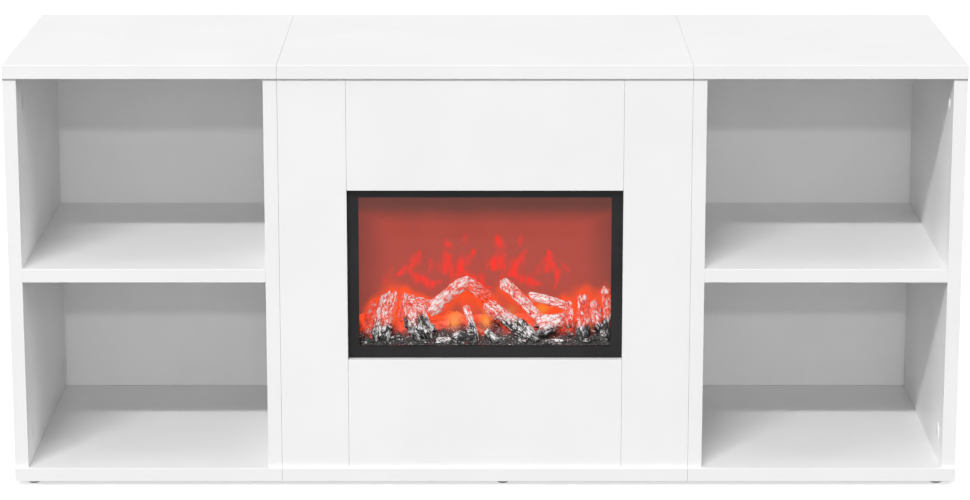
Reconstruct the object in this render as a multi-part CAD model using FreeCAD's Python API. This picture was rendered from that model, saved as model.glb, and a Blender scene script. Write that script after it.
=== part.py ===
import FreeCAD, Part
import os

# A stand for a television with a decorative flame insert: three board cabinets, side by side.
# Millimetres, +Z up, the front towards -Y, the origin on the floor under the middle of the stand.

Vector = FreeCAD.Vector
along_x = Vector(1, 0, 0)
along_y = Vector(0, 1, 0)
along_z = Vector(0, 0, 1)

# Carcass
stand_width = 1100.0
stand_depth = 360.0
stand_height = 500.0
board_thickness = 16.0
edge_round = 0.4
module_gap = 0.2
front_overhang = 3.0
shelf_clear_height = 223.0
shelf_back_gap = 1.0

# Back sheets
back_sheet_thickness = 3.0
back_sheet_reveal = 1.0
back_sheet_margin = 0.5
service_width = 240.0
service_height = 150.0
service_low = 158.0
service_round = 12.0

# Boards round the fire
stile_width = 78.0
opening_width = 318.0
opening_height = 201.0
lower_panel_height = 130.5
panel_seam = 0.2
insert_shelf_depth = 184.0

# Board fittings
edge_line = 37.0
dowel_offset = 32.0
dowel_radius = 4.0
dowel_in_end = 20.0
dowel_in_face = 10.0
cam_setback = 34.0
cam_radius = 7.5
cam_depth = 12.5
cam_inset = 0.4
cam_recess_radius = 2.8
cam_recess_depth = 2.2
bolt_radius = 3.0
bolt_grip = 11.0
cap_radius = 10.0
cap_height = 1.4
cap_bevel = 0.7
hole_play = 0.1
bolt_play = 0.6
hole_end_play = 0.5
overrun = 1.0

# Screws and bolts
connector_radius = 2.5
sleeve_radius = 3.7
connector_head_radius = 7.0
connector_head_height = 2.0
connector_end_gap = 2.5
connector_inset_front = 54.0
connector_inset_rear = 66.0
connector_inset_end = 68.0
long_screw_radius = 3.0
long_screw_head_radius = 4.8
long_screw_head_height = 3.0
long_screw_length = 48.0
long_screw_inset = 34.0
screw_radius = 1.7
screw_head_radius = 3.4
screw_head_height = 1.6
screw_length = 13.0

# Corner brackets
bracket_leg = 25.0
bracket_width = 18.0
bracket_thickness = 2.0
bracket_place_share = 0.69

# Back sheet nails
nail_radius = 0.8
nail_head_radius = 2.2
nail_head_height = 0.8
nail_length = 16.0
nails_per_upright = 5

# Nailed glides
glide_radius = 6.5
glide_top_radius = 7.5
glide_height = 6.0
glide_inset = 20.0
glide_middle_place = 21.0
glide_pin_radius = 1.0
glide_pin_length = 12.0
glide_head_radius = 2.6
glide_head_height = 1.0
glide_recess = 2.0

# Insert bezel, glass and casing
insert_play = 0.5
bezel_recess = 9.0
bezel_depth = 20.0
bezel_side_border = 12.5
bezel_top_border = 9.5
bezel_bottom_border = 13.5
bezel_lip = 6.0
bezel_rim = 6.5
bezel_round = 0.5
glass_thickness = 3.0
casing_play = 0.3
casing_wall = 1.0
cover_lip = 10.0
cover_screw_inset = 40.0
casing_screw_length = 5.0
vent_count = 14
vent_width = 3.0
vent_height = 34.0
vent_pitch = 9.0
vent_place_share = 0.2
vent_round_share = 0.48
pad_width = 30.0
pad_depth = 25.0
pad_place_share = 0.69
pad_rear_inset = 20.0

# Insert brackets
ear_height = 40.0
ear_reach = 26.0
ear_thickness = 2.0
ear_place_share = 0.27
ear_screw_length = 10.5

# Ember bed and logs
bed_depth = 56.0
bed_gap = 1.0
bed_front_height = 4.5
bed_rear_height = 27.0
bed_shell = 2.5
bed_side_play = 0.5
bed_step_shares = [(0.0, 0.0), (0.28, 0.14), (0.55, 0.52), (0.8, 0.88), (1.0, 1.0)]
log_radius = 9.0
log_pile_height = 64.0
log_waist_share = 0.93
log_bend_share = 0.35
# Each log: x, y and z of both ends and both radii, as shares of half the window, the bed and the pile.
log_shares = [
    (-0.93, 0.30, 0.04, -0.83, 0.42, 0.78, 0.95, 0.80),
    (-0.80, 0.25, 0.02, -0.68, 0.40, 0.80, 0.90, 0.75),
    (-0.66, 0.42, 0.30, -0.17, 0.62, 0.97, 1.00, 0.85),
    (-0.17, 0.62, 0.97, 0.02, 0.50, 0.62, 0.80, 0.70),
    (-0.55, 0.22, 0.06, -0.24, 0.34, 0.32, 0.80, 0.70),
    (-0.12, 0.20, 0.03, -0.12, 0.34, 0.60, 0.70, 0.60),
    (0.02, 0.42, 0.66, 0.40, 0.22, 0.04, 1.05, 0.95),
    (0.16, 0.66, 0.93, 0.50, 0.50, 0.22, 0.70, 0.60),
    (0.30, 0.60, 0.62, 0.62, 0.66, 0.64, 0.60, 0.55),
    (0.46, 0.24, 0.10, 0.64, 0.36, 0.46, 0.75, 0.65),
    (0.68, 0.26, 0.06, 0.69, 0.42, 0.76, 0.85, 0.75),
    (0.81, 0.28, 0.05, 0.80, 0.44, 0.80, 0.90, 0.80),
    (0.94, 0.28, 0.05, 0.95, 0.44, 0.77, 0.85, 0.75),
]

# Flame screen and mask
screen_thickness = 3.0
screen_gap = 3.0
screen_side_play = 0.3
rail_leg = 8.0
rail_wall = 1.0
rail_end_gap = 5.0
mask_gap = 10.0
mask_thickness = 0.8
mask_side_gap = 2.7
mask_height = 140.0
mask_foot = 9.0
mask_slot_width = 12.0
mask_slot_base = 24.0
mask_slot_shares = [
    (-0.82, 0.45, 0.10), (-0.61, 0.62, -0.12), (-0.41, 0.78, 0.14), (-0.20, 0.92, -0.10), (0.0, 1.0, 0.12),
    (0.20, 0.88, -0.14), (0.41, 0.80, 0.10), (0.61, 0.60, -0.10), (0.82, 0.42, 0.12),
]

# Flame spindle, motor and bush
spindle_radius = 2.0
motor_radius = 17.0
motor_length = 18.0
motor_mask_gap = 1.5
motor_floor_gap = 7.2
motor_side_gap = 0.7
motor_rear_gap = 0.7
motor_boss_radius = 5.0
motor_boss_length = 3.0
motor_shaft_radius = 1.5
motor_shaft_grip = 6.0
running_play = 0.05
coupler_radius = 4.5
coupler_half = 10.0
coupler_gap = 3.0
plate_thickness = 1.5
plate_foot = 12.0
motor_plate_width = 32.0
motor_plate_above = 20.0
bush_plate_width = 28.0
bush_plate_above = 12.0
bush_radius = 4.0
bush_flange_radius = 6.0
bush_flange = 1.0
bush_end = 4.0
bush_side_gap = 25.0
vane_count = 9
vane_blades = 4
vane_hub_radius = 4.0
vane_hub_length = 8.0
vane_reach = 15.0
vane_width_share = 0.75
vane_thickness = 0.6
vane_pitch_angle = 20.0
vane_turn_angle = 25.0
hub_play = 0.02

# Light boards
light_board_depth = 14.0
light_board_thickness = 1.6
light_board_end_gap = 4.0
ember_board_length_share = 0.8
ember_board_place_share = 0.4
chip_size = 5.0
chip_height = 1.0
chip_count = 10

# Control board
control_width = 80.0
control_height = 60.0
control_left_share = 0.2
control_low_share = 0.49
control_thickness = 1.6
standoff_radius = 2.5
standoff_length = 6.0
standoff_inset = 5.0
capacitor_radius = 5.0
capacitor_length = 12.0
# Each block on the board: x and z of its low corner, its width and its height, as shares of the board.
control_block_shares = [(0.08, 0.52, 0.26, 0.30), (0.45, 0.55, 0.16, 0.20), (0.30, 0.14, 0.22, 0.14)]
control_block_depths = [14.0, 2.0, 8.0]
capacitor_shares = [(0.78, 0.66), (0.78, 0.34)]

# Power switch and inlet
switch_place_share = -0.4
switch_height_share = 0.76
switch_body_width = 13.0
switch_body_height = 19.6
switch_body_depth = 14.0
switch_flange_width = 16.0
switch_flange_height = 22.6
switch_flange = 1.6
switch_pocket_width = 9.4
switch_pocket_height = 16.4
switch_pocket_depth = 10.0
rocker_side_play = 0.3
rocker_half_length = 7.2
rocker_crest = 2.6
rocker_valley = 1.4
rocker_heel = 0.6
rocker_keel = 3.0
rocker_rest_angle = 8.0
pivot_depth = 3.4
pivot_radius = 1.2
pivot_length = 1.0
pivot_end_gap = 0.2
inlet_place_share = -0.66
inlet_flange_radius = 7.0
inlet_flange = 1.6
inlet_body_radius = 5.5
inlet_body_length = 16.0
inlet_socket_radius = 3.2
inlet_socket_depth = 10.0
inlet_pin_radius = 1.0
inlet_pin_length = 9.0
inlet_pin_root = 3.0
inlet_nut_radius = 8.0
inlet_nut_height = 3.0

# Leads inside the casing
lead_radius = 1.3
lead_stand_off = 8.0
lead_drop = 26.0

# Planes that the boards share
half_width = stand_width / 2
front_face = -stand_depth / 2
rear_face = stand_depth / 2
body_front = front_face + front_overhang
body_rear = rear_face - back_sheet_reveal - back_sheet_thickness
floor_low = glide_height
floor_high = floor_low + board_thickness
top_low = stand_height - board_thickness
opening_half = opening_width / 2
centre_half = opening_half + stile_width
inner_face = centre_half + module_gap
front_rear = body_front + board_thickness
front_middle = body_front + board_thickness / 2
opening_low = floor_high + lower_panel_height
opening_high = opening_low + opening_height
shelf_low = floor_high + shelf_clear_height
shelf_high = shelf_low + board_thickness
insert_shelf_low = opening_low - board_thickness
insert_shelf_rear = front_rear + insert_shelf_depth

parts = {}
cuts = {}


def add(node, shape):
    parts.setdefault(node, []).append(shape)


def cut(node, shape):
    cuts.setdefault(node, []).append(shape)


def span(first, second):
    return (min(first, second), max(first, second))


def block(x, y, z):
    return Part.makeBox(x[1] - x[0], y[1] - y[0], z[1] - z[0], Vector(x[0], y[0], z[0]))


def board(x, y, z):
    blank = block(x, y, z)
    return blank.makeFillet(edge_round, blank.Edges)


def rod(start, end, radius):
    axis = end - start
    return Part.makeCylinder(radius, axis.Length, start, axis)


def prism_along(points, direction):
    return Part.Face(Part.makePolygon(points + points[:1])).extrude(direction)


# Fittings that join boards: each drills both boards and adds its own pieces
def dowel(end_board, face_board, point, inward):
    root = point - inward * dowel_in_end
    tip = point + inward * dowel_in_face
    add("wood_dowels", rod(root, tip, dowel_radius))
    cut(end_board, rod(root - inward * hole_end_play, point + inward * overrun, dowel_radius + hole_play))
    cut(face_board, rod(point - inward * overrun, tip + inward * hole_end_play, dowel_radius + hole_play))


def cam_joint(end_board, face_board, point, inward, cam_side, capped):
    centre = point - inward * cam_setback
    surface = centre + cam_side * (board_thickness / 2)
    cam_top = surface - cam_side * cam_inset
    cam_foot = cam_top - cam_side * cam_depth
    bolt_end = point + inward * bolt_grip
    cam = rod(cam_top, cam_foot, cam_radius)
    throat = rod(centre, centre + inward * (cam_radius + overrun), bolt_radius + hole_play)
    recess = rod(cam_top + cam_side * overrun, cam_top - cam_side * cam_recess_depth, cam_recess_radius)
    add("cam_locks", cam.cut([throat, recess]))
    add("cam_bolts", rod(centre, bolt_end, bolt_radius))
    pocket_foot = cam_foot - cam_side * hole_end_play
    cut(end_board, rod(surface + cam_side * overrun, pocket_foot, cam_radius + hole_play))
    cut(end_board, rod(centre, point + inward * overrun, bolt_radius + bolt_play))
    cut(face_board, rod(point - inward * overrun, bolt_end + inward * hole_end_play, bolt_radius + hole_play))
    if capped:
        cap = Part.makeCone(cap_radius, cap_radius - cap_bevel, cap_height, surface, cam_side)
        add("cam_caps", cap)


def screw_hole(seat, inward, length):
    return rod(seat - inward * overrun, seat + inward * (length + hole_end_play), screw_radius + hole_play)


def screw(seat, inward, length, seats):
    head = rod(seat - inward * screw_head_height, seat, screw_head_radius)
    add("small_screws", head.fuse(rod(seat, seat + inward * length, screw_radius)))
    for seated in seats:
        cut(seated, screw_hole(seat, inward, length))


# Tops, floors and uprights
def cabinet_uprights(name, x, front, cam_side, top, floor, capped):
    add(name, board(x, (front, body_rear), (floor_high, top_low)))
    middle = (x[0] + x[1]) / 2
    for level, face_board, inward in ((top_low, top, along_z), (floor_high, floor, -along_z)):
        for edge, step in ((front, 1), (body_rear, -1)):
            cam_at = Vector(middle, edge + step * edge_line, level)
            cam_joint(name, face_board, cam_at, inward, cam_side, capped)
            dowel(name, face_board, cam_at + along_y * (step * dowel_offset), inward)


def tops_and_floors():
    for level, kind in ((top_low, "top"), (floor_low, "floor")):
        z = (level, level + board_thickness)
        y = (front_face, rear_face)
        add(kind + "_left", board((-half_width, -inner_face), y, z))
        add(kind + "_centre", board((-centre_half, centre_half), y, z))
        add(kind + "_right", board((inner_face, half_width), y, z))


def side_cabinet(side, sign):
    top, floor = "top_" + side, "floor_" + side
    outer, inner, shelf = "outer_side_" + side, "inner_side_" + side, "shelf_" + side
    outer_x = span(sign * half_width, sign * (half_width - board_thickness))
    inner_x = span(sign * inner_face, sign * (inner_face + board_thickness))
    cabinet_uprights(outer, outer_x, body_front, along_x * -sign, top, floor, True)
    cabinet_uprights(inner, inner_x, body_front, along_x * sign, top, floor, True)
    shelf_outer = sign * (half_width - board_thickness)
    shelf_inner = sign * (inner_face + board_thickness)
    shelf_rear = body_rear - shelf_back_gap
    add(shelf, board(span(shelf_outer, shelf_inner), (body_front, shelf_rear), (shelf_low, shelf_high)))
    for end, upright, inward in ((shelf_outer, outer, along_x * sign), (shelf_inner, inner, along_x * -sign)):
        for edge, step in ((body_front, 1), (body_rear, -1)):
            cam_at = Vector(end, edge + step * edge_line, shelf_low + board_thickness / 2)
            cam_joint(shelf, upright, cam_at, inward, -along_z, False)
            dowel(shelf, upright, cam_at + along_y * (step * dowel_offset), inward)


def centre_cabinet(side, sign):
    name, stile = "centre_side_" + side, "front_stile_" + side
    x = span(sign * centre_half, sign * (centre_half - board_thickness))
    cabinet_uprights(name, x, front_rear, along_x * -sign, "top_centre", "floor_centre", False)
    stile_x = span(sign * opening_half, sign * centre_half)
    add(stile, board(stile_x, (body_front, front_rear), (floor_high, top_low)))
    side_middle = sign * (centre_half - board_thickness / 2)
    stile_middle = sign * (opening_half + stile_width / 2)
    for level, step in ((floor_high, 1), (top_low, -1)):
        beside = level + step * (edge_line + dowel_offset + dowel_offset)
        dowel(name, stile, Vector(side_middle, front_rear, beside), -along_y)
        face_board = "floor_centre" if step > 0 else "top_centre"
        dowel(stile, face_board, Vector(stile_middle, front_middle, level), along_z * -step)
    dowel(name, stile, Vector(side_middle, front_rear, (floor_high + top_low) / 2), -along_y)


def front_panels():
    half = opening_half - panel_seam
    y = (body_front, front_rear)
    lower = ("front_panel_lower", (floor_high, opening_low), "floor_centre", floor_high, -along_z)
    upper = ("front_panel_upper", (opening_high, top_low), "top_centre", top_low, along_z)
    for name, z, face_board, edge, inward in (lower, upper):
        add(name, board((-half, half), y, z))
        for sign, side in ((-1, "left"), (1, "right")):
            for level in (z[0] + edge_line, z[1] - edge_line):
                dowel(name, "front_stile_" + side, Vector(sign * half, front_middle, level), along_x * sign)
            dowel(name, face_board, Vector(sign * half / 2, front_middle, edge), inward)
            corner_bracket(name, face_board, sign * bracket_place_share * half, edge, inward)


def corner_bracket(panel, face_board, x, level, inward):
    width = (x - bracket_width / 2, x + bracket_width / 2)
    deep = level - inward.z * bracket_leg
    skin = level - inward.z * bracket_thickness
    upright_leg = block(width, (front_rear, front_rear + bracket_thickness), span(deep, level))
    flat_leg = block(width, (front_rear, front_rear + bracket_leg), span(skin, level))
    name = "corner_brackets"
    middle = bracket_leg / 2 + bracket_thickness
    panel_seat = Vector(x, front_rear + bracket_thickness, level - inward.z * middle)
    board_seat = Vector(x, front_rear + middle, skin)
    bracket = upright_leg.fuse(flat_leg).removeSplitter()
    for seat, way in ((panel_seat, -along_y), (board_seat, inward)):
        bracket = bracket.cut(screw_hole(seat, way, screw_length))
    add(name, bracket)
    screw(panel_seat, -along_y, screw_length, [panel])
    screw(board_seat, inward, screw_length, [face_board])


def insert_shelf():
    half = centre_half - board_thickness
    z = (insert_shelf_low, opening_low)
    add("insert_shelf", board((-half, half), (front_rear, insert_shelf_rear), z))
    for sign, side in ((-1, "left"), (1, "right")):
        for y in (front_rear + long_screw_inset, insert_shelf_rear - long_screw_inset):
            face = Vector(sign * centre_half, y, insert_shelf_low + board_thickness / 2)
            inward = along_x * -sign
            neck = face + inward * long_screw_head_height
            tip = face + inward * long_screw_length
            head = rod(face, neck, long_screw_head_radius)
            add("long_screws", head.fuse(rod(neck, tip, long_screw_radius)))
            head_hole = rod(face - inward * overrun, neck, long_screw_head_radius + hole_play)
            cut("centre_side_" + side, head_hole)
            shank_hole = rod(face, tip + inward * hole_end_play, long_screw_radius + hole_play)
            cut("centre_side_" + side, shank_hole)
            cut("insert_shelf", shank_hole)


# Bolts and sleeves that hold the middle cabinet between the outer ones
def cabinet_connectors(side, sign):
    bolt_face = sign * (inner_face + board_thickness)
    sleeve_face = sign * (centre_half - board_thickness)
    inward = along_x * -sign
    for y in (body_front + connector_inset_front + board_thickness, body_rear - connector_inset_rear):
        for z in (floor_high + connector_inset_end, top_low - connector_inset_end):
            bolt_seat, sleeve_seat = Vector(bolt_face, y, z), Vector(sleeve_face, y, z)
            tip = sleeve_seat - inward * connector_end_gap
            head = rod(bolt_seat - inward * connector_head_height, bolt_seat, connector_head_radius)
            add("cabinet_connectors", head.fuse(rod(bolt_seat, tip, connector_radius)))
            sleeve_end = sleeve_seat + inward * connector_head_height
            sleeve = rod(sleeve_seat, sleeve_end, connector_head_radius)
            sleeve = sleeve.fuse(rod(sleeve_seat, bolt_seat + inward * connector_end_gap, sleeve_radius))
            thread = rod(bolt_seat, tip + inward * hole_end_play, connector_radius + hole_play)
            add("cabinet_connectors", sleeve.cut(thread))
            past = inward * overrun
            hole = rod(bolt_seat - past, sleeve_seat + past, sleeve_radius + hole_play)
            cut("inner_side_" + side, hole)
            cut("centre_side_" + side, hole)


# Back sheets and their nails
def back_sheet(name, x, uprights):
    y = (body_rear, body_rear + back_sheet_thickness)
    z = (floor_high + back_sheet_margin, top_low - back_sheet_margin)
    add(name, block((x[0] + back_sheet_margin, x[1] - back_sheet_margin), y, z))
    pitch = (z[1] - z[0]) / nails_per_upright
    for upright, middle in uprights:
        for number in range(nails_per_upright):
            seat = Vector(middle, y[1], z[0] + pitch * (number + 1 / 2))
            tip = seat - along_y * nail_length
            head = rod(seat, seat + along_y * nail_head_height, nail_head_radius)
            add("nails", head.fuse(rod(seat, tip, nail_radius)))
            hole = rod(seat + along_y * overrun, tip - along_y * hole_end_play, nail_radius + hole_play)
            cut(name, hole)
            cut(upright, hole)


def back_sheets():
    half_board = board_thickness / 2
    for side, sign in (("left", -1), ("right", 1)):
        uprights = [("outer_side_" + side, sign * (half_width - half_board)),
                    ("inner_side_" + side, sign * (inner_face + half_board))]
        back_sheet("back_" + side, span(sign * half_width, sign * inner_face), uprights)
    uprights = [("centre_side_left", half_board - centre_half),
                ("centre_side_right", centre_half - half_board)]
    back_sheet("back_centre", (-centre_half, centre_half), uprights)
    y = (body_rear - overrun, rear_face + overrun)
    low = floor_high + service_low
    hatch = block((-service_width / 2, service_width / 2), y, (low, low + service_height))
    corners = [edge for edge in hatch.Edges if edge.BoundBox.YLength > back_sheet_thickness]
    cut("back_centre", hatch.makeFillet(service_round, corners))


# Nailed glides under the floors
def glides():
    ends = half_width - glide_inset
    for x, floor in ((-ends, "floor_left"), (glide_middle_place, "floor_centre"), (ends, "floor_right")):
        for y in (front_face + glide_inset, rear_face - glide_inset):
            foot = Vector(x, y, 0)
            head_low = foot + along_z * glide_recess
            head_high = head_low + along_z * glide_head_height
            tip = Vector(x, y, floor_low + glide_pin_length)
            pad = Part.makeCone(glide_radius, glide_top_radius, glide_height, foot, along_z)
            well = rod(foot - along_z * overrun, head_high, glide_head_radius + hole_play)
            bore = rod(head_low, tip, glide_pin_radius + hole_play)
            add("glide_pads", pad.cut([well, bore]))
            pin = rod(head_low, head_high, glide_head_radius).fuse(rod(head_high, tip, glide_pin_radius))
            add("nails", pin)
            cut(floor, rod(foot, tip + along_z * hole_end_play, glide_pin_radius + hole_play))


# Planes of the insert
bezel_half = opening_half - insert_play
bezel_low = opening_low + insert_play
bezel_high = opening_high - insert_play
bezel_front = body_front + bezel_recess
bezel_rear = bezel_front + bezel_depth
window_half = bezel_half - bezel_side_border
window_low = bezel_low + bezel_bottom_border
window_high = bezel_high - bezel_top_border
glass_front = bezel_front + bezel_lip
casing_front = glass_front + glass_thickness
casing_half = bezel_half - bezel_rim - casing_play
casing_low = bezel_low + bezel_rim + casing_play
casing_high = bezel_high - bezel_rim - casing_play
inner_half = casing_half - casing_wall
inner_low = casing_low + casing_wall
inner_high = casing_high - casing_wall
insert_middle = (casing_low + casing_high) / 2
bed_front = casing_front + bed_gap
bed_rear = bed_front + bed_depth
bed_half = inner_half - bed_side_play
screen_front = bed_rear + screen_gap
screen_rear = screen_front + screen_thickness
mask_front = screen_rear + mask_gap
mask_rear = mask_front + mask_thickness
mask_half = inner_half - rail_leg - mask_side_gap
spindle_y = mask_rear + motor_mask_gap + motor_radius
spindle_z = inner_low + motor_floor_gap + motor_radius
casing_rear = spindle_y + motor_radius + motor_rear_gap + cover_lip
cover_rear = casing_rear + casing_wall


def bezel_and_glass():
    outer = block((-bezel_half, bezel_half), (bezel_front, bezel_rear), (bezel_low, bezel_high))
    front_edges = [edge for edge in outer.Edges if edge.BoundBox.YMax < bezel_rear]
    outer = outer.makeFillet(bezel_round, front_edges)
    window_y = (bezel_front - overrun, bezel_rear + overrun)
    window = block((-window_half, window_half), window_y, (window_low, window_high))
    seat_half = bezel_half - bezel_rim
    seat_z = (bezel_low + bezel_rim, bezel_high - bezel_rim)
    seat = block((-seat_half, seat_half), (glass_front, bezel_rear + overrun), seat_z)
    add("insert_bezel", outer.cut([window, seat]))
    glass_y = (glass_front, casing_front)
    add("insert_glass", block((-casing_half, casing_half), glass_y, (casing_low, casing_high)))


def casing():
    outer = block((-casing_half, casing_half), (casing_front, casing_rear), (casing_low, casing_high))
    inside_y = (casing_front - overrun, casing_rear + overrun)
    inside = block((-inner_half, inner_half), inside_y, (inner_low, inner_high))
    add("insert_casing", outer.cut(inside))
    plate = block((-casing_half, casing_half), (casing_rear, cover_rear), (casing_low, casing_high))
    lip_half = inner_half - casing_play
    lip_z = (inner_low + casing_play, inner_high - casing_play)
    lip_y = (casing_rear - cover_lip, casing_rear)
    lip = block((-lip_half, lip_half), lip_y, lip_z)
    hollow_z = (lip_z[0] + casing_wall, lip_z[1] - casing_wall)
    hollow_half = lip_half - casing_wall
    hollow = block((-hollow_half, hollow_half), (lip_y[0] - overrun, casing_rear), hollow_z)
    add("insert_rear_cover", plate.fuse([lip.cut(hollow)] + board_studs()).removeSplitter())
    vents()
    for sign in (-1, 1):
        for z in (casing_low + cover_screw_inset, casing_high - cover_screw_inset):
            seat = Vector(sign * casing_half, casing_rear - cover_lip / 2, z)
            screw(seat, along_x * -sign, casing_screw_length, ["insert_casing", "insert_rear_cover"])
        pad_middle = sign * pad_place_share * casing_half
        pad_x = (pad_middle - pad_width / 2, pad_middle + pad_width / 2)
        pad_rear = casing_rear - pad_rear_inset
        add("rest_pads", block(pad_x, (pad_rear - pad_depth, pad_rear), (opening_low, casing_low)))


def vents():
    z_middle = inner_low + vent_place_share * (inner_high - inner_low)
    y_span = (casing_rear - overrun, cover_rear + overrun)
    for number in range(vent_count):
        x_middle = vent_pitch * (number - (vent_count - 1) / 2)
        slot = around(vent_width, y_span, vent_height, x_middle, z_middle)
        corners = [edge for edge in slot.Edges if edge.BoundBox.YLength > casing_wall]
        cut("insert_rear_cover", slot.makeFillet(vent_round_share * vent_width, corners))


def insert_brackets():
    for sign, side in ((-1, "left"), (1, "right")):
        for step in (-1, 1):
            z_middle = insert_middle + step * ear_place_share * (bezel_high - bezel_low)
            z = (z_middle - ear_height / 2, z_middle + ear_height / 2)
            inside, skin = sign * bezel_half, sign * (bezel_half + ear_thickness)
            outside = sign * (bezel_half + ear_thickness + ear_reach)
            inner_leg = block(span(inside, skin), (front_rear, bezel_rear), z)
            outer_leg = block(span(skin, outside), (front_rear, front_rear + ear_thickness), z)
            ear = inner_leg.fuse(outer_leg).removeSplitter()
            bezel_seat = Vector(skin, (front_rear + bezel_rear) / 2, z_middle)
            through = along_x * -sign
            reach = skin + sign * (ear_reach / 2)
            for z_seat in (z_middle - ear_height / 4, z_middle + ear_height / 4):
                stile_seat = Vector(reach, front_rear + ear_thickness, z_seat)
                screw(stile_seat, -along_y, screw_length, ["front_stile_" + side])
                ear = ear.cut(screw_hole(stile_seat, -along_y, screw_length))
            ear = ear.cut(screw_hole(bezel_seat, through, ear_screw_length))
            add("insert_brackets", ear)
            screw(bezel_seat, through, ear_screw_length, ["insert_bezel", "insert_casing"])


def bed_profile(shell):
    low = inner_low
    front, rear = bed_front + shell, bed_rear - shell
    rise = bed_rear_height - bed_front_height
    points = [Vector(-bed_half + shell, front, low)]
    for y_share, z_share in bed_step_shares:
        z = low + bed_front_height + rise * z_share - shell
        points.append(Vector(-bed_half + shell, front + (rear - front) * y_share, z))
    points.append(Vector(-bed_half + shell, rear, low))
    return prism_along(points, along_x * (2 * (bed_half - shell)))


def log(shares):
    x0, y0, z0, x1, y1, z1, r0, r1 = shares
    base = inner_low + bed_front_height
    start = Vector(x0 * window_half, bed_front + y0 * bed_depth, base + z0 * log_pile_height)
    end = Vector(x1 * window_half, bed_front + y1 * bed_depth, base + z1 * log_pile_height)
    axis = end - start
    bend = along_y * (-log_bend_share * log_radius)
    radii = [r0 * log_radius, (r0 + r1) / 2 * log_waist_share * log_radius, r1 * log_radius]
    rings = []
    places = [start, start + axis / 2 + bend, end]
    ways = [axis + bend, axis, axis - bend]
    for radius, place, way in zip(radii, places, ways):
        rings.append(Part.Wire(Part.makeCircle(radius, place, way)))
    return Part.makeLoft(rings, True)


def ember_bed_and_logs():
    solid_bed = bed_profile(0)
    add("ember_bed", solid_bed.cut(bed_profile(bed_shell)))
    logs = [log(shares) for shares in log_shares]
    limits = block((-bed_half, bed_half), (bed_front, bed_rear), (inner_low, inner_high))
    pile = logs[0].fuse(logs[1:]).cut(solid_bed).common(limits)
    for solid in pile.Solids:
        add("log_set", solid)


def screen_and_mask():
    half = inner_half - screen_side_play
    add("flame_screen", block((-half, half), (screen_front, screen_rear), (inner_low, inner_high)))
    for sign in (-1, 1):
        z = (inner_low + rail_end_gap, inner_high - rail_end_gap)
        wall, skin, lip = sign * inner_half, sign * (inner_half - rail_wall), sign * (inner_half - rail_leg)
        side_leg = block(span(wall, skin), (screen_rear, screen_rear + rail_leg), z)
        rear_leg = block(span(skin, lip), (screen_rear, screen_rear + rail_wall), z)
        add("screen_rails", side_leg.fuse(rear_leg).removeSplitter())
    x = (-mask_half, mask_half)
    plate = block(x, (mask_front, mask_rear), (inner_low, inner_low + mask_height))
    foot = block(x, (mask_front - mask_foot, mask_front), (inner_low, inner_low + mask_thickness))
    slots = [flame_slot(shares) for shares in mask_slot_shares]
    add("flame_mask", plate.cut(slots).fuse(foot).removeSplitter())


def flame_slot(shares):
    x_share, height_share, lean_share = shares
    y = mask_front - overrun
    base = inner_low + mask_slot_base
    height = (mask_height - mask_slot_base - mask_foot) * height_share
    root = Vector(x_share * mask_half, y, base)
    tip = root + Vector(lean_share * height, 0, height)
    middle = (root + tip) / 2
    left = Part.Arc(root, middle - along_x * (mask_slot_width / 2), tip).toShape()
    right = Part.Arc(tip, middle + along_x * (mask_slot_width / 2), root).toShape()
    return Part.Face(Part.Wire([left, right])).extrude(along_y * (mask_thickness + 2 * overrun))


def on_axis(x):
    return Vector(x, spindle_y, spindle_z)


# Places along the spindle
motor_root = motor_side_gap - inner_half
motor_face = motor_root + motor_length
boss_end = motor_face + motor_boss_length
motor_plate_face = motor_face + plate_thickness
coupler_left = boss_end + coupler_gap
spindle_left = coupler_left + coupler_half
coupler_right = spindle_left + coupler_half
bush_plate_right = inner_half - bush_side_gap - plate_foot
bush_plate_left = bush_plate_right - plate_thickness
spindle_right = bush_plate_left + bush_end
vane_pitch = (bush_plate_left - bush_flange - coupler_right) / vane_count
vane_width = vane_width_share * vane_pitch


def spindle():
    add("spindle_shaft", rod(on_axis(spindle_left), on_axis(spindle_right), spindle_radius))
    shaft_root = boss_end - motor_shaft_grip
    add("motor_shaft", rod(on_axis(shaft_root), on_axis(spindle_left), motor_shaft_radius))
    coupler = rod(on_axis(coupler_left), on_axis(coupler_right), coupler_radius)
    motor_bore = rod(on_axis(coupler_left - overrun), on_axis(spindle_left), motor_shaft_radius + hub_play)
    shaft_bore = rod(on_axis(spindle_left), on_axis(coupler_right + overrun), spindle_radius + hub_play)
    add("drive_coupler", coupler.cut([motor_bore, shaft_bore]))
    first = coupler_right + vane_pitch / 2
    for number in range(vane_count):
        add("spindle_vanes", vane(first + number * vane_pitch, number * vane_turn_angle))


def vane(x, turn):
    middle = on_axis(x)
    hub = rod(on_axis(x - vane_hub_length / 2), on_axis(x + vane_hub_length / 2), vane_hub_radius)
    for number in range(vane_blades):
        blade = block((-vane_width / 2, vane_width / 2), (-vane_thickness / 2, vane_thickness / 2),
                      (spindle_radius + hub_play, vane_reach))
        blade.rotate(Vector(0, 0, 0), along_z, vane_pitch_angle)
        blade.rotate(Vector(0, 0, 0), along_x, turn + 360 / vane_blades * number)
        blade.translate(middle)
        hub = hub.fuse(blade)
    bore = rod(on_axis(x - vane_width), on_axis(x + vane_width), spindle_radius + hub_play)
    return hub.cut(bore)


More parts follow.
